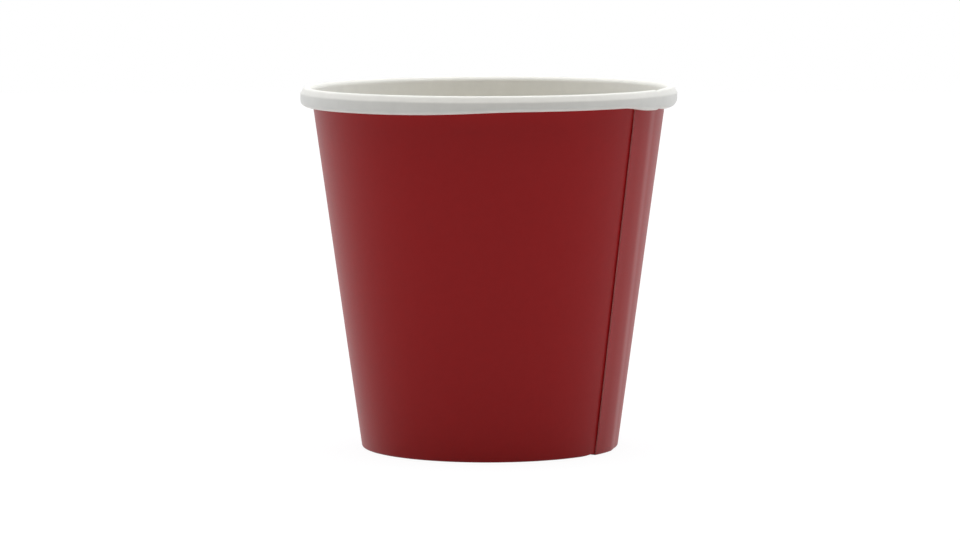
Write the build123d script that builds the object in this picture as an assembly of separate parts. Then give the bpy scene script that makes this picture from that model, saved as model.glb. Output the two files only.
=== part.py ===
from build123d import *
from math import atan, cos, sqrt
import os

# A squat paper hot cup, made the way it is converted from two blanks of board.
# The side wall is one sheet: wound into a cone, lapped at the side, rolled over at
# the rim and folded in and up at the foot. The base disc has a down-turned skirt
# that is held between the wall and the foot's fold.
# Millimetres, +Z up, origin at the middle of the ring that the cup stands on.
# The front of the cup faces -Y.

# Outer form
RIM_DIAMETER = 90.0
CUP_HEIGHT = 86.3
FOOT_DIAMETER = 61.5

# Board
WALL_BOARD = 0.35
BASE_BOARD = 0.30

# Rolled rim: its width is how far it stands out from the wall, if the wall ran on up to
# the rim's top. Its corner radii are those of its outer face.
ROLL_WIDTH = 2.39
ROLL_HEIGHT = 3.7
ROLL_TOP_RADIUS = 1.35
ROLL_UNDER_RADIUS = 1.15
ROLL_GAP_TO_WALL = 0.15
ROLL_TUCKED_LENGTH = 0.9

# Foot: the wall's fold, and the base that it holds. A crease leaves a narrow flat
# across the outside of a folded corner.
FOLD_HEIGHT = 5.6
SKIRT_GAP_TO_FOLD = 0.2
BASE_RECESS = 7.2
CREASE = 0.2

# Side lap: its outer cut edge lies on one generator of the cone, at this azimuth
LAP_AZIMUTH = -34.1
LAP_WIDTH = 7.0
LAP_RUN_OUT = 1.6
LAP_INNER_EDGE = 0.22
LAP_DROP_OF_ROLL = 0.3

# Worked out from the sizes above
UNDER_RIM_HEIGHT = CUP_HEIGHT - ROLL_HEIGHT
WALL_DIAMETER_AT_TOP = RIM_DIAMETER - 2 * ROLL_WIDTH
TAPER = (WALL_DIAMETER_AT_TOP - FOOT_DIAMETER) / 2 / CUP_HEIGHT
SLANT = cos(atan(TAPER))
ROLL_START_HEIGHT = CUP_HEIGHT - ROLL_TOP_RADIUS


def wall_radius(height, depth=0.0):
    """Radius at this height, and this deep under the wall's printed face."""
    return FOOT_DIAMETER / 2 + TAPER * height - depth / SLANT


def wall_point(height, depth=0.0):
    return (wall_radius(height, depth), height)


def wall_face(depth):
    """Outline of the wall's face this deep under the printed one.

    It runs from the folded edge in the foot to the tucked edge in the rim.
    """
    folded = WALL_BOARD + BASE_BOARD + WALL_BOARD - depth
    tucked = depth - WALL_BOARD - ROLL_GAP_TO_WALL
    past_printed = depth - WALL_BOARD
    roll_reach = RIM_DIAMETER / 2 + past_printed
    roll_top = CUP_HEIGHT + past_printed
    roll_under = UNDER_RIM_HEIGHT - past_printed
    tuck_end = UNDER_RIM_HEIGHT + ROLL_UNDER_RADIUS + ROLL_TUCKED_LENGTH
    over = ROLL_TOP_RADIUS + past_printed
    under = ROLL_UNDER_RADIUS + past_printed
    corners = [
        wall_point(FOLD_HEIGHT, folded),
        wall_point(depth, folded),
        wall_point(depth, depth),
        wall_point(roll_top, depth),
        (roll_reach, roll_top),
        (roll_reach, roll_under),
        wall_point(roll_under, tucked),
        wall_point(tuck_end, tucked),
    ]
    return FilletPolyline(*corners, radius=[0, 0, over, over, under, under])


def base_face(depth):
    """Outline of the base's face this deep under the upper one, out to its skirt's edge."""
    height = BASE_RECESS - depth
    skirt_edge = WALL_BOARD + SKIRT_GAP_TO_FOLD
    under_wall = WALL_BOARD + depth
    return Polyline((0, height), wall_point(height, under_wall), wall_point(skirt_edge, under_wall))


def sheet_section(one_face, other_face):
    """Section of a sheet between its two faces, closed by its cut edges."""
    first_cut = Line(one_face @ 0, other_face @ 0)
    last_cut = Line(one_face @ 1, other_face @ 1)
    return make_face([*one_face.edges(), *other_face.edges(), first_cut, last_cut])


def turned(section):
    return revolve(Plane.XZ * section, Axis.Z)


def lap_slab(low, high):
    """Space that the lap fills: as wide as the lap, from its outer cut edge on."""
    slab = Box(RIM_DIAMETER, LAP_WIDTH, high - low, align=Align.MIN)
    return Pos(0, 0, low) * slab


def lap_corner(height, depth, across):
    """Point of the wall this far across the lap, on its outer or an inner face."""
    radius = wall_radius(height, depth)
    return (sqrt(radius**2 - across**2), across)


def lap_wedge(low, high, corner_depths):
    """Thin wedge that runs up the wall from the lap's far edge to where the lap runs out."""
    far = LAP_WIDTH + LAP_RUN_OUT
    ends = []
    for height in (low, high):
        near_corners = [lap_corner(height, depth, LAP_WIDTH) for depth in corner_depths]
        tip = lap_corner(height, corner_depths[0], far)
        ends.append(Plane.XY.offset(height) * make_face(Polyline(*near_corners, tip, close=True)))
    return loft(ends, ruled=True)


def lap():
    """Second layer over the lap, down to where it runs out on the single sheet."""
    layer = turned(sheet_section(wall_face(0), wall_face(-WALL_BOARD))) & lap_slab(0, CUP_HEIGHT)
    run_out = lap_wedge(CREASE, UNDER_RIM_HEIGHT, (0, -WALL_BOARD))
    return layer + run_out


def side_wall():
    section = sheet_section(wall_face(0), wall_face(WALL_BOARD))
    folded_corners = section.vertices().group_by(Axis.Y)[0]
    sheet = turned(chamfer(folded_corners, CREASE))
    roll_middle = UNDER_RIM_HEIGHT + ROLL_HEIGHT / 2
    dropped_roll = Pos(0, 0, -LAP_DROP_OF_ROLL) * (sheet & lap_slab(UNDER_RIM_HEIGHT, roll_middle))
    inner_edge = (WALL_BOARD, WALL_BOARD - LAP_INNER_EDGE)
    groove = lap_wedge(BASE_RECESS, ROLL_START_HEIGHT, inner_edge)
    wall = sheet + lap() + dropped_roll - groove
    return Rot(0, 0, LAP_AZIMUTH) * wall


def base_disc():
    """Recessed disc, with a skirt that lies on the inside of the wall."""
    section = sheet_section(base_face(0), base_face(BASE_BOARD))
    folded_corner = section.vertices().sort_by(Axis.X)[-1]
    return turned(chamfer(folded_corner, CREASE))


os.makedirs("parts", exist_ok=True)
export_step(side_wall(), "parts/side_wall.step")
export_step(base_disc(), "parts/base_disc.step")
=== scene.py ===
import math

import bpy
from mathutils import Matrix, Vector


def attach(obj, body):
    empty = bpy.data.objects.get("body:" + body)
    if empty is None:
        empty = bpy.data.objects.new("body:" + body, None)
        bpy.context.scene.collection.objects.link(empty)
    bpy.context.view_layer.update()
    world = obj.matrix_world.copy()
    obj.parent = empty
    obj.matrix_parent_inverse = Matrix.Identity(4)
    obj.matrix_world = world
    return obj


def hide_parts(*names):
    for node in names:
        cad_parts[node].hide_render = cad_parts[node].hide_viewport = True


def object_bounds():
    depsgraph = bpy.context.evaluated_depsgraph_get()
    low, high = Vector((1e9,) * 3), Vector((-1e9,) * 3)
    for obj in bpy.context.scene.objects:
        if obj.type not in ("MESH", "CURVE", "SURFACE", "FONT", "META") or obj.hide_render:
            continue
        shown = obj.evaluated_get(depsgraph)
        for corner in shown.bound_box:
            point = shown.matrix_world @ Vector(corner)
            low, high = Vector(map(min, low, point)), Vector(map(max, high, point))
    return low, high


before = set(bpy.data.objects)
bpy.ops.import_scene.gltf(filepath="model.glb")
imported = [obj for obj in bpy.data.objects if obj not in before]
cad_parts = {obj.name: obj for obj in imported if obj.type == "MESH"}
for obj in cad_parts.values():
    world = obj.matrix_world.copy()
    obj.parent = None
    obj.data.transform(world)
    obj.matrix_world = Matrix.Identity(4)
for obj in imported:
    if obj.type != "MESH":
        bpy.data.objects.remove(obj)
CAD_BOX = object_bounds()

# A squat paper cup of two sheets of board. Each sheet's section is drawn as an outline and
# wound round the cup's axis, which is the Z axis.

# Sizes of the cup, in metres. The overall ones come from the frame.
MM = 0.001
RIM_RADIUS = CAD_BOX[1].x
CUP_HEIGHT = CAD_BOX[1].z
FOOT_RADIUS = 30.75 * MM
RADIUS_UNDER_RIM = 42.1 * MM
WALL_BOARD = 0.35 * MM
BASE_BOARD = 0.30 * MM
ROLL_HEIGHT = 3.7 * MM
ROLL_TOP_RADIUS = 1.35 * MM
ROLL_BEVEL_WIDTH = 0.75 * MM
ROLL_BEVEL_HEIGHT = 1.25 * MM
ROLL_BEVEL_RADIUS = 0.6 * MM
ROLL_UNDER_RADIUS = 1.15 * MM
ROLL_GAP_TO_WALL = 0.15 * MM
ROLL_TUCKED_LENGTH = 0.9 * MM
FOLD_RADIUS = 0.49 * MM
FOLD_HEIGHT = 5.6 * MM
BASE_RECESS = 7.2 * MM
BASE_BEND_RADIUS = 0.6 * MM
SKIRT_EDGE_HEIGHT = 1.1 * MM

UNDER_RIM_HEIGHT = CUP_HEIGHT - ROLL_HEIGHT
TAPER = (RADIUS_UNDER_RIM - FOOT_RADIUS) / UNDER_RIM_HEIGHT
SLANT = math.cos(math.atan(TAPER))

# The side lap: where its outer cut edge is, how wide it is, the width over which it runs
# out to one layer, and the width over which its free edge lies straight
LAP_AZIMUTH = math.radians(-34.1)
LAP_WIDTH = 7.0 * MM
LAP_RUN_OUT = 5.0 * MM
LAP_STRAIGHT_EDGE = 3.0 * MM
GLUE_LINE = 0.02 * MM

# The roll sags at the left front and over the lap. A sag ends where the cosine of the angle
# from its middle falls to its limit.
SAG_AZIMUTH = math.radians(-138)
SAG = 0.86 * MM
SAG_LIMIT = 0.5
LAP_SAG_AZIMUTH = math.radians(-20)
LAP_SAG = 1.0 * MM
LAP_SAG_LIMIT = 0.93

# Marks of the tool that crimps the foot, and how far the board is from true
KNURL_COUNT = 96.0
KNURL_DEPTH = 0.10 * MM
WAVE_LENGTH = 45.0 * MM
WAVE_DEPTH = 0.10 * MM

# How fine the meshes are, and what counts as one point, a sharp edge and the lap's cut edge
WALL_COLUMNS = 561
WALL_SPACING = 4.5 * MM
BASE_COLUMNS = 193
BASE_SPACING = 3.5 * MM
POINTS_IN_CORNER = 8
MERGE_DISTANCE = 0.001 * MM
SHARP_ANGLE = math.radians(50)
CUT_EDGE_REACH = math.radians(0.25)


def wall_point(height, depth=0.0):
    """Point of the wall's section at this height, and this deep under its printed face."""
    return (FOOT_RADIUS + TAPER * height - depth / SLANT, height)


def node(tree, kind, inputs=(), **settings):
    """Adds a node with its settings. Inputs are sockets to link from, or plain values."""
    made = tree.nodes.new(kind)
    for name, value in settings.items():
        setattr(made, name, value)
    for key, value in dict(inputs).items():
        if isinstance(value, bpy.types.NodeSocket):
            tree.links.new(value, made.inputs[key])
        else:
            made.inputs[key].default_value = value
    return made


# Materials

# Sockets of the Mix node that are for colours
COLOUR_A, COLOUR_B, MIXED_COLOUR = 6, 7, 2

# Range that a noise texture mostly keeps to
NOISE_LOW, NOISE_HIGH = 0.3, 0.7


def linear(code):
    """Linear colour of an sRGB hex code."""
    shares = [int(code[i:i + 2], 16) / 255 for i in (0, 2, 4)]
    curve = [s / 12.92 if s <= 0.04045 else ((s + 0.055) / 1.055) ** 2.4 for s in shares]
    return (*curve, 1.0)


def new_material(name):
    """A material with an empty tree, and that tree."""
    material = bpy.data.materials.new(name)
    material.use_nodes = True
    material.node_tree.nodes.clear()
    return material, material.node_tree


def per_mm(size_mm):
    """Scale of a pattern on coordinates in metres whose features are this large."""
    return 1.0 / (size_mm * MM)


def board(name, colours, roughness, ior, mottle_mm, fibre_mm, relief_mm):
    """Paper board: two near colours that mottle, and a relief of fibres.

    Real fibres are about 0.03 mm wide, too fine to show, so they are drawn coarser."""
    material, tree = new_material(name)
    place = node(tree, "ShaderNodeTexCoord").outputs["Object"]
    mottle = node(tree, "ShaderNodeTexNoise",
                  {"Vector": place, "Scale": per_mm(mottle_mm), "Detail": 3.0, "Roughness": 0.6})
    spread = node(tree, "ShaderNodeMapRange",
                  {"Value": mottle.outputs["Fac"], "From Min": NOISE_LOW,
                   "From Max": NOISE_HIGH})
    colour = node(tree, "ShaderNodeMix",
                  {"Factor": spread.outputs["Result"], COLOUR_A: linear(colours[0]),
                   COLOUR_B: linear(colours[1])}, data_type="RGBA")
    fibres = node(tree, "ShaderNodeTexNoise",
                  {"Vector": place, "Scale": per_mm(fibre_mm), "Detail": 4.0, "Roughness": 0.65})
    gloss = node(tree, "ShaderNodeMapRange",
                 {"Value": fibres.outputs["Fac"], "From Min": NOISE_LOW,
                  "From Max": NOISE_HIGH, "To Min": roughness[0], "To Max": roughness[1]})
    relief = node(tree, "ShaderNodeBump",
                  {"Height": fibres.outputs["Fac"], "Strength": 1.0, "Distance": relief_mm * MM})
    shader = node(tree, "ShaderNodeBsdfPrincipled",
                  {"Base Color": colour.outputs[MIXED_COLOUR], "Roughness": gloss.outputs["Result"],
                   "Normal": relief.outputs["Normal"], "IOR": ior})
    node(tree, "ShaderNodeOutputMaterial", {"Surface": shader.outputs["BSDF"]})
    return material


# Cup board printed in one red and sealed with a thin varnish: an even deep red with a
# soft, weak gloss, which greys towards the flanks.
PRINTED = board("varnished_print_on_board", ("A0080A", "A40A0C"),
                roughness=(0.36, 0.44), ior=1.3, mottle_mm=1.6, fibre_mm=0.28, relief_mm=0.004)
# The same board's inner side, under an extruded polymer film: white, smooth, half matt.
LINED = board("film_lined_white_board", ("EDEAE1", "F1EEE5"),
              roughness=(0.42, 0.50), ior=1.5, mottle_mm=3.0, fibre_mm=0.35, relief_mm=0.006)
# Where the blank was cut: bare white fibres, matt.
CUT = board("cut_edge_of_white_board", ("DDD8CC", "E6E2D8"),
            roughness=(0.8, 0.9), ior=1.5, mottle_mm=0.5, fibre_mm=0.12, relief_mm=0.02)
# The lap's outer cut edge, stained by the ink that was printed over it.
STAINED = board("ink_stained_cut_edge", ("C46C6A", "CC7C78"),
                roughness=(0.8, 0.9), ior=1.5, mottle_mm=0.5, fibre_mm=0.12, relief_mm=0.02)
# Underside of the base: uncoated board, matt and a little warmer.
BARE = board("uncoated_white_board", ("E4E1D8", "EAE8E0"),
             roughness=(0.75, 0.85), ior=1.5, mottle_mm=2.0, fibre_mm=0.25, relief_mm=0.015)


# Sheets

# What a corner of a sheet's outline may carry: its radius, and how much it is knurled,
# belongs to the underside of the roll, or is free to spring straight at the lap
ATTRIBUTES = ("corner_radius", "knurled", "roll_under", "free")

# Material slots of a sheet
FACE, BACK, CUT_EDGE, LAP_EDGE = range(4)


def outline_mesh(name, corners):
    """Corners of a sheet's section, in the XZ plane. Each is its place and its attributes."""
    mesh = bpy.data.meshes.new(name)
    places = [(place[0], 0.0, place[1]) for place, _ in corners]
    mesh.from_pydata(places, [(i, i + 1) for i in range(len(places) - 1)], [])
    for attribute in ATTRIBUTES:
        values = mesh.attributes.new(attribute, "FLOAT", "POINT")
        for item, (_, given) in zip(values.data, corners):
            item.value = given.get(attribute, 0.0)
    return mesh


def sheet_tree():
    """Winds a sheet of board round the cup's axis: its section is turned through one turn
    and a lap, where the outer layer climbs over the inner one."""
    tree = bpy.data.node_groups.new("wound_sheet", "GeometryNodeTree")
    sockets = tree.interface
    sockets.new_socket("Geometry", in_out="INPUT", socket_type="NodeSocketGeometry")
    sockets.new_socket("Columns", in_out="INPUT", socket_type="NodeSocketInt")
    sizes = ("Spacing", "Lap Azimuth", "Lap Width", "Lap Run Out", "Lap Lift", "Straight Edge",
             "Tuck Radius", "Roll Radius", "Sag Azimuth", "Sag", "Sag Limit",
             "Lap Sag Azimuth", "Lap Sag", "Lap Sag Limit", "Knurl Count", "Knurl Depth",
             "Wave Length", "Wave Depth")
    for size in sizes:
        sockets.new_socket(size, in_out="INPUT", socket_type="NodeSocketFloat")
    sockets.new_socket("Material", in_out="INPUT", socket_type="NodeSocketMaterial")
    sockets.new_socket("Geometry", in_out="OUTPUT", socket_type="NodeSocketGeometry")
    given = node(tree, "NodeGroupInput").outputs

    # The section as a curve with rounded corners and no long spans
    drawn = node(tree, "GeometryNodeMeshToCurve", {"Mesh": given["Geometry"]})
    radius = node(tree, "GeometryNodeInputNamedAttribute", {"Name": "corner_radius"})
    rounded = node(tree, "GeometryNodeFilletCurve",
                   {"Curve": drawn.outputs[0], "Count": POINTS_IN_CORNER,
                    "Radius": radius.outputs[0], "Limit Radius": True}, mode="POLY")
    here = node(tree, "GeometryNodeInputPosition").outputs[0]
    index = node(tree, "GeometryNodeInputIndex").outputs[0]
    after = node(tree, "ShaderNodeMath", {0: index, 1: 1.0}, operation="ADD").outputs[0]
    there = node(tree, "GeometryNodeFieldAtIndex", {"Index": after, "Value": here},
                 data_type="FLOAT_VECTOR", domain="POINT").outputs[0]
    span = node(tree, "ShaderNodeVectorMath", {0: here, 1: there}, operation="DISTANCE")
    spans = node(tree, "ShaderNodeMath", {0: span.outputs["Value"], 1: given["Spacing"]},
                 operation="DIVIDE").outputs[0]
    section = node(tree, "GeometryNodeSubdivideCurve",
                   {"Curve": rounded.outputs[0], "Cuts": spans}).outputs[0]

    # A grid with a column for each azimuth and a row for each point of the section
    rows = node(tree, "GeometryNodeAttributeDomainSize", {"Geometry": section},
                component="CURVE").outputs["Point Count"]
    grid = node(tree, "GeometryNodeMeshGrid",
                {"Size X": 1.0, "Size Y": 1.0, "Vertices X": given["Columns"], "Vertices Y": rows})
    row = node(tree, "ShaderNodeMath", {0: index, 1: rows}, operation="MODULO").outputs[0]
    across = node(tree, "ShaderNodeSeparateXYZ", {0: here}).outputs["X"]
    turn = node(tree, "ShaderNodeMath", {0: across, 1: 0.5}, operation="ADD").outputs[0]
    tangent = node(tree, "GeometryNodeInputTangent").outputs[0]
    vectors = {}
    for name, field in (("place", here), ("tangent", tangent)):
        vectors[name] = node(tree, "GeometryNodeSampleIndex",
                             {"Geometry": section, "Value": field, "Index": row},
                             data_type="FLOAT_VECTOR", domain="POINT").outputs[0]
    weights = {}
    for name in ATTRIBUTES[1:]:
        field = node(tree, "GeometryNodeInputNamedAttribute", {"Name": name}).outputs[0]
        weights[name] = node(tree, "GeometryNodeSampleIndex",
                             {"Geometry": section, "Value": field, "Index": row},
                             data_type="FLOAT", domain="POINT").outputs[0]
    place = node(tree, "ShaderNodeSeparateXYZ", {0: vectors["place"]}).outputs
    along = node(tree, "ShaderNodeSeparateXYZ", {0: vectors["tangent"]}).outputs
    inwards = node(tree, "ShaderNodeMath", {0: along["X"], 1: -1.0},
                   operation="MULTIPLY").outputs[0]

    # Azimuth of each column, and how far it is from both cut edges of the blank
    lap_turn = node(tree, "ShaderNodeMath", {0: given["Lap Width"], 1: place["X"]},
                    operation="DIVIDE").outputs[0]
    whole = node(tree, "ShaderNodeMath", {0: lap_turn, 1: math.tau}, operation="ADD").outputs[0]
    start = node(tree, "ShaderNodeMath", {0: given["Lap Azimuth"], 1: lap_turn},
                 operation="ADD").outputs[0]
    turned = node(tree, "ShaderNodeMath", {0: turn, 1: whole}, operation="MULTIPLY").outputs[0]
    azimuth = node(tree, "ShaderNodeMath", {0: start, 1: turned}, operation="SUBTRACT").outputs[0]
    left = node(tree, "ShaderNodeMath", {0: whole, 1: turned}, operation="SUBTRACT").outputs[0]
    run_out_end = node(tree, "ShaderNodeMath", {0: given["Lap Width"], 1: given["Lap Run Out"]},
                       operation="ADD").outputs[0]
    near = {}
    for name, angle in (("inner", turned), ("outer", left)):
        distance = node(tree, "ShaderNodeMath", {0: angle, 1: place["X"]}, operation="MULTIPLY")
        near[name] = node(tree, "ShaderNodeMapRange",
                          {"Value": distance.outputs[0], "From Min": given["Lap Width"],
                           "From Max": run_out_end, "To Min": 1.0, "To Max": 0.0},
                          interpolation_type="SMOOTHSTEP").outputs["Result"]
    in_lap = node(tree, "ShaderNodeMath", {0: near["inner"], 1: near["outer"]},
                  operation="MAXIMUM").outputs[0]

    # Lift of the outer layer, whose free edge lies straight instead of bending with the
    # cone, and the knurl pressed into the folded edge
    edge_distance = node(tree, "ShaderNodeMath", {0: left, 1: place["X"]},
                         operation="MULTIPLY").outputs[0]
    straight = node(tree, "ShaderNodeMath", {0: given["Straight Edge"], 1: edge_distance},
                    operation="SUBTRACT").outputs[0]
    held = node(tree, "ShaderNodeMath", {0: straight, 1: 0.0}, operation="MAXIMUM").outputs[0]
    squared = node(tree, "ShaderNodeMath", {0: held, 1: held}, operation="MULTIPLY").outputs[0]
    width = node(tree, "ShaderNodeMath", {0: place["X"], 1: 2.0}, operation="MULTIPLY").outputs[0]
    sprung = node(tree, "ShaderNodeMath", {0: squared, 1: width}, operation="DIVIDE").outputs[0]
    free = node(tree, "ShaderNodeMath", {0: sprung, 1: weights["free"]},
                operation="MULTIPLY").outputs[0]
    lift = node(tree, "ShaderNodeMath", {0: near["outer"], 1: given["Lap Lift"], 2: free},
                operation="MULTIPLY_ADD").outputs[0]
    knurl_turn = node(tree, "ShaderNodeMath", {0: azimuth, 1: given["Knurl Count"]},
                      operation="MULTIPLY").outputs[0]
    ridge = node(tree, "ShaderNodeMath", {0: knurl_turn}, operation="COSINE").outputs[0]
    pressed = node(tree, "ShaderNodeMapRange",
                   {"Value": ridge, "From Min": -1.0, "From Max": 1.0, "To Min": 0.0,
                    "To Max": given["Knurl Depth"]}).outputs["Result"]
    knurl = node(tree, "ShaderNodeMath", {0: pressed, 1: weights["knurled"]},
                 operation="MULTIPLY").outputs[0]
    proud = node(tree, "ShaderNodeMath", {0: lift, 1: knurl}, operation="SUBTRACT").outputs[0]

    # The roll sags a little on one side and over the lap, and its tucked end gives way there
    drops = []
    for name in ("Sag", "Lap Sag"):
        away = node(tree, "ShaderNodeMath", {0: azimuth, 1: given[name + " Azimuth"]},
                    operation="SUBTRACT").outputs[0]
        facing = node(tree, "ShaderNodeMath", {0: away}, operation="COSINE").outputs[0]
        drops.append(node(tree, "ShaderNodeMapRange",
                          {"Value": facing, "From Min": given[name + " Limit"], "From Max": 1.0,
                           "To Min": 0.0, "To Max": given[name]},
                          interpolation_type="SMOOTHSTEP"))
    drop = node(tree, "ShaderNodeMath", {0: drops[0].outputs[0], 1: drops[1].outputs[0]},
                operation="ADD").outputs[0]
    dropped = node(tree, "ShaderNodeMath", {0: drop, 1: weights["roll_under"]},
                   operation="MULTIPLY").outputs[0]
    room = node(tree, "ShaderNodeMath", {0: in_lap, 1: given["Lap Lift"]},
                operation="MULTIPLY").outputs[0]
    inside = node(tree, "ShaderNodeMapRange",
                  {"Value": place["X"], "From Min": given["Tuck Radius"],
                   "From Max": given["Roll Radius"], "To Min": 1.0,
                   "To Max": 0.0}).outputs["Result"]
    tucked = node(tree, "ShaderNodeMath", {0: inside, 1: weights["roll_under"]},
                  operation="MULTIPLY").outputs[0]
    tuck = node(tree, "ShaderNodeMath", {0: room, 1: tucked}, operation="MULTIPLY").outputs[0]

    # Board never lies quite true: shallow waves, always inwards
    raw_radius = node(tree, "ShaderNodeMath", {0: along["Z"], 1: proud, 2: place["X"]},
                      operation="MULTIPLY_ADD").outputs[0]
    true_radius = node(tree, "ShaderNodeMath", {0: raw_radius, 1: tuck},
                       operation="ADD").outputs[0]
    raw_height = node(tree, "ShaderNodeMath", {0: inwards, 1: proud, 2: place["Z"]},
                      operation="MULTIPLY_ADD").outputs[0]
    low_height = node(tree, "ShaderNodeMath", {0: raw_height, 1: dropped},
                      operation="SUBTRACT").outputs[0]
    under_outer = node(tree, "ShaderNodeMath", {0: near["inner"], 1: given["Lap Lift"]},
                       operation="MULTIPLY").outputs[0]
    height = node(tree, "ShaderNodeMath", {0: low_height, 1: under_outer},
                  operation="MAXIMUM").outputs[0]
    spin = [node(tree, "ShaderNodeMath", {0: azimuth}, operation=operation).outputs[0]
            for operation in ("COSINE", "SINE")]
    flat = node(tree, "ShaderNodeCombineXYZ", {"X": spin[0], "Y": spin[1]}).outputs[0]
    wide = node(tree, "ShaderNodeVectorMath", {0: flat, "Scale": true_radius},
                operation="SCALE").outputs[0]
    lifted = node(tree, "ShaderNodeCombineXYZ", {"Z": height}).outputs[0]
    wound = node(tree, "ShaderNodeVectorMath", {0: wide, 1: lifted}, operation="ADD").outputs[0]
    fineness = node(tree, "ShaderNodeMath", {0: 1.0, 1: given["Wave Length"]},
                    operation="DIVIDE").outputs[0]
    wave = node(tree, "ShaderNodeTexNoise", {"Vector": wound, "Scale": fineness, "Detail": 1.0})
    depth = node(tree, "ShaderNodeMath", {0: wave.outputs["Fac"], 1: given["Wave Depth"]},
                 operation="MULTIPLY").outputs[0]
    inward = node(tree, "ShaderNodeMath", {0: depth, 1: -1.0}, operation="MULTIPLY").outputs[0]
    sunk = node(tree, "ShaderNodeVectorMath", {0: flat, "Scale": inward}, operation="SCALE")
    final = node(tree, "ShaderNodeVectorMath", {0: wound, 1: sunk.outputs[0]}, operation="ADD")

    placed = node(tree, "GeometryNodeSetPosition",
                  {"Geometry": grid.outputs["Mesh"], "Position": final.outputs[0]})
    closed = node(tree, "GeometryNodeMergeByDistance",
                  {"Geometry": placed.outputs[0], "Distance": MERGE_DISTANCE})
    faced = node(tree, "GeometryNodeFlipFaces", {"Mesh": closed.outputs[0]})
    smooth = node(tree, "GeometryNodeSetShadeSmooth", {"Geometry": faced.outputs[0]})
    whole_mesh = node(tree, "GeometryNodeRealizeInstances", {"Geometry": smooth.outputs[0]})
    painted = node(tree, "GeometryNodeSetMaterial",
                   {"Geometry": whole_mesh.outputs[0], "Material": given["Material"]})
    node(tree, "NodeGroupOutput", {"Geometry": painted.outputs[0]})
    return tree


def wound_sheet(name, outline, tree, board_thickness, materials, values):
    """A closed mesh of a wound sheet. The materials are those of its face, its back, its cut
    edges, and the cut edge that shows in the lap."""
    for material in materials:
        outline.materials.append(material)
    start = bpy.data.objects.new(name + "_outline", outline)
    bpy.context.scene.collection.objects.link(start)
    winding = start.modifiers.new("winding", "NODES")
    winding.node_group = tree
    named = {item.name: item.identifier for item in tree.interface.items_tree
             if item.in_out == "INPUT"}
    for key, value in {**values, "Material": materials[FACE]}.items():
        winding[named[key]] = value
    walls = start.modifiers.new("walls", "SOLIDIFY")
    walls.thickness = board_thickness
    walls.offset = -1.0
    walls.use_even_offset = True
    walls.material_offset = BACK
    walls.material_offset_rim = CUT_EDGE
    graph = bpy.context.evaluated_depsgraph_get()
    mesh = bpy.data.meshes.new_from_object(start.evaluated_get(graph))
    mesh.name = name
    sides = [face.material_index for face in mesh.polygons]
    lowest = min(sides)
    mesh.materials.clear()
    for material in materials:
        mesh.materials.append(material)
    mesh.polygons.foreach_set("material_index", [side - lowest for side in sides])
    for face in mesh.polygons:
        azimuth = math.atan2(face.center.y, face.center.x)
        if face.material_index == CUT_EDGE and abs(azimuth - LAP_AZIMUTH) < CUT_EDGE_REACH:
            face.material_index = LAP_EDGE
    mesh.set_sharp_from_angle(angle=SHARP_ANGLE)
    bpy.data.objects.remove(start)
    piece = bpy.data.objects.new(name, mesh)
    bpy.context.scene.collection.objects.link(piece)
    return piece


def wall_outline():
    """Printed face of the side wall, from the folded edge in the foot to the tucked one."""
    stack = WALL_BOARD + BASE_BOARD + WALL_BOARD
    reach = RIM_RADIUS - WALL_BOARD
    top = CUP_HEIGHT - WALL_BOARD
    under = UNDER_RIM_HEIGHT + WALL_BOARD
    tuck = -(ROLL_GAP_TO_WALL + WALL_BOARD)
    tuck_end = UNDER_RIM_HEIGHT + ROLL_UNDER_RADIUS + ROLL_TUCKED_LENGTH
    knurl_low = 0.25 * FOLD_HEIGHT
    knurl_high = 0.85 * FOLD_HEIGHT
    held_up_to = 1.5 * MM
    held_under_roll = 3.0 * MM
    fold_corner = {"corner_radius": FOLD_RADIUS}
    top_corner = {"corner_radius": ROLL_TOP_RADIUS - WALL_BOARD}
    bevel_corner = {"corner_radius": ROLL_BEVEL_RADIUS}
    under_corner = {"corner_radius": ROLL_UNDER_RADIUS - WALL_BOARD, "roll_under": 1.0}
    corners = [
        (wall_point(FOLD_HEIGHT, stack), {}),
        (wall_point(knurl_high, stack), {"knurled": 1.0}),
        (wall_point(knurl_low, stack), {"knurled": 1.0}),
        (wall_point(0, stack), fold_corner),
        (wall_point(0), fold_corner),
        (wall_point(held_up_to), {}),
        (wall_point(FOLD_HEIGHT), {"free": 1.0}),
        (wall_point(UNDER_RIM_HEIGHT - held_under_roll), {"free": 1.0}),
        (wall_point(UNDER_RIM_HEIGHT), {}),
        (wall_point(top), top_corner),
        ((reach - ROLL_BEVEL_WIDTH, top), bevel_corner),
        ((reach, top - ROLL_BEVEL_HEIGHT), bevel_corner),
        ((reach, under), under_corner),
        (wall_point(under, tuck), under_corner),
        (wall_point(tuck_end, tuck), {"roll_under": 1.0}),
    ]
    return outline_mesh("wall_outline", corners)


def base_outline():
    """Upper face of the base disc, from its middle to the lower edge of its skirt."""
    corners = [
        ((0.0, BASE_RECESS), {}),
        (wall_point(BASE_RECESS, WALL_BOARD), {"corner_radius": BASE_BEND_RADIUS}),
        (wall_point(SKIRT_EDGE_HEIGHT, WALL_BOARD), {}),
    ]
    return outline_mesh("base_outline", corners)


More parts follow.
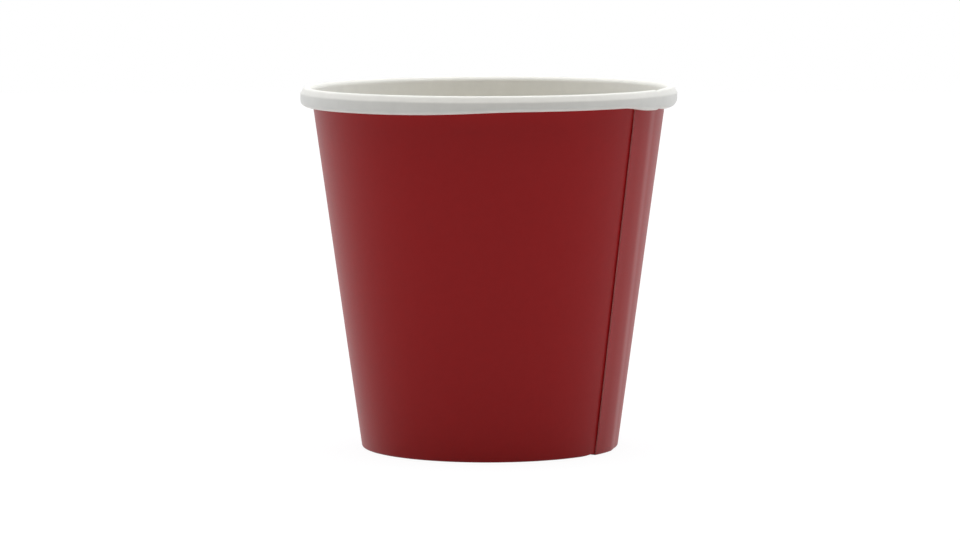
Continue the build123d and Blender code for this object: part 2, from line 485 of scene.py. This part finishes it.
def build_cup():
    """Both sheets of the cup, each in place of its node of the CAD."""
    tree = sheet_tree()
    lap = {"Lap Azimuth": LAP_AZIMUTH, "Lap Width": LAP_WIDTH, "Lap Run Out": LAP_RUN_OUT,
           "Lap Lift": WALL_BOARD + GLUE_LINE, "Straight Edge": LAP_STRAIGHT_EDGE}
    roll = {"Tuck Radius": RADIUS_UNDER_RIM + ROLL_GAP_TO_WALL + WALL_BOARD,
            "Roll Radius": RIM_RADIUS - ROLL_UNDER_RADIUS,
            "Sag Azimuth": SAG_AZIMUTH, "Sag": SAG, "Sag Limit": SAG_LIMIT,
            "Lap Sag Azimuth": LAP_SAG_AZIMUTH, "Lap Sag": LAP_SAG,
            "Lap Sag Limit": LAP_SAG_LIMIT}
    knurl = {"Knurl Count": KNURL_COUNT, "Knurl Depth": KNURL_DEPTH}
    waves = {"Wave Length": WAVE_LENGTH, "Wave Depth": WAVE_DEPTH}
    wall = wound_sheet("side_wall_board", wall_outline(), tree, WALL_BOARD,
                       (PRINTED, LINED, CUT, STAINED),
                       {"Columns": WALL_COLUMNS, "Spacing": WALL_SPACING,
                        **lap, **roll, **knurl, **waves})
    base = wound_sheet("base_disc_board", base_outline(), tree, BASE_BOARD,
                       (LINED, BARE, BARE, BARE),
                       {"Columns": BASE_COLUMNS, "Spacing": BASE_SPACING, **waves})
    for piece, replaced, slot in ((wall, "side_wall", "printed_board"),
                                  (base, "base_disc", "plain_board")):
        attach(piece, "root")
        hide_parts(replaced)


# Stage

def sees_white(tree):
    """1 for the rays that show the background as white: straight, mirrored or seen through."""
    rays = node(tree, "ShaderNodeLightPath").outputs
    mirrored = node(tree, "ShaderNodeMath",
                    {0: rays["Is Glossy Ray"], 1: rays["Is Transmission Ray"]},
                    operation="MAXIMUM")
    return node(tree, "ShaderNodeMath", {0: rays["Is Camera Ray"], 1: mirrored.outputs[0]},
                operation="MAXIMUM").outputs[0]


def build_floor():
    """Pale floor that looks white to the camera and still takes the cup's soft shadow."""
    half_width = 1.5
    level = -0.05 * MM  # just below the foot, whose lowest faces would otherwise lie in it
    glow = 1.13
    glow_share = 0.8
    mesh = bpy.data.meshes.new("floor")
    corners = [(x * half_width, y * half_width, level)
               for x, y in ((-1, -1), (1, -1), (1, 1), (-1, 1))]
    mesh.from_pydata(corners, [], [(0, 1, 2, 3)])
    floor = bpy.data.objects.new("floor", mesh)
    bpy.context.scene.collection.objects.link(floor)
    material, tree = new_material("pale_floor")
    matt = node(tree, "ShaderNodeBsdfDiffuse", {"Color": linear("CACACA")})
    white = node(tree, "ShaderNodeEmission", {"Color": (1, 1, 1, 1), "Strength": glow})
    share = node(tree, "ShaderNodeMath", {0: sees_white(tree), 1: glow_share},
                 operation="MULTIPLY")
    mixed = node(tree, "ShaderNodeMixShader",
                 {0: share.outputs[0], 1: matt.outputs[0], 2: white.outputs[0]})
    node(tree, "ShaderNodeOutputMaterial", {"Surface": mixed.outputs[0]})
    mesh.materials.append(material)


def build_world():
    """White tent: bright and cool at the sides and behind, brightest overhead, and dark
    round the camera."""
    side_light = 0.98
    top_light = 3.1
    world = bpy.data.worlds.new("tent")
    bpy.context.scene.world = world
    world.use_nodes = True
    tree = world.node_tree
    tree.nodes.clear()
    direction = node(tree, "ShaderNodeTexCoord").outputs["Generated"]
    towards = node(tree, "ShaderNodeSeparateXYZ", {0: direction}).outputs
    aside = node(tree, "ShaderNodeMapRange",
                 {"Value": towards["Y"], "From Min": -0.5, "From Max": 0.15, "To Min": 0.0,
                  "To Max": side_light}, interpolation_type="SMOOTHSTEP").outputs["Result"]
    overhead = node(tree, "ShaderNodeMapRange",
                    {"Value": towards["Z"], "From Min": 0.75, "From Max": 0.95,
                     "To Min": 0.0, "To Max": top_light},
                    interpolation_type="SMOOTHSTEP").outputs["Result"]
    sides = node(tree, "ShaderNodeBackground", {"Color": linear("E9F1FF"), "Strength": aside})
    top = node(tree, "ShaderNodeBackground", {"Color": linear("FEFDFB"), "Strength": overhead})
    tent = node(tree, "ShaderNodeAddShader", {0: sides.outputs[0], 1: top.outputs[0]})
    white = node(tree, "ShaderNodeBackground", {"Color": (1, 1, 1, 1), "Strength": 1.0})
    mixed = node(tree, "ShaderNodeMixShader",
                 {0: sees_white(tree), 1: tent.outputs[0], 2: white.outputs[0]})
    node(tree, "ShaderNodeOutputWorld", {"Surface": mixed.outputs[0]})


def build_camera():
    """Camera of the photo, worked out from the cup's outline in its 960 by 540 frame."""
    image_width = 960
    focal_px = 4195
    cup_axis_px = 489.4
    distance = 1.0
    height = 0.1408
    pitch = 0.0983
    roll = -0.0033
    azimuth = math.radians(2.4)
    data = bpy.data.cameras.new("camera")
    data.sensor_width = 36
    data.lens = data.sensor_width * focal_px / image_width
    data.clip_end = 10
    camera = bpy.data.objects.new("camera", data)
    bpy.context.scene.collection.objects.link(camera)
    aside = (image_width / 2 - cup_axis_px) / focal_px * distance
    place = Matrix.Rotation(azimuth, 4, "Z") @ Matrix.Translation((aside, -distance, height))
    view = Matrix.Rotation(math.pi / 2 - pitch, 4, "X") @ Matrix.Rotation(roll, 4, "Z")
    camera.matrix_world = place @ view
    bpy.context.scene.camera = camera


build_cup()
build_floor()
build_world()
build_camera()
bpy.context.scene.view_settings.view_transform = "Standard"
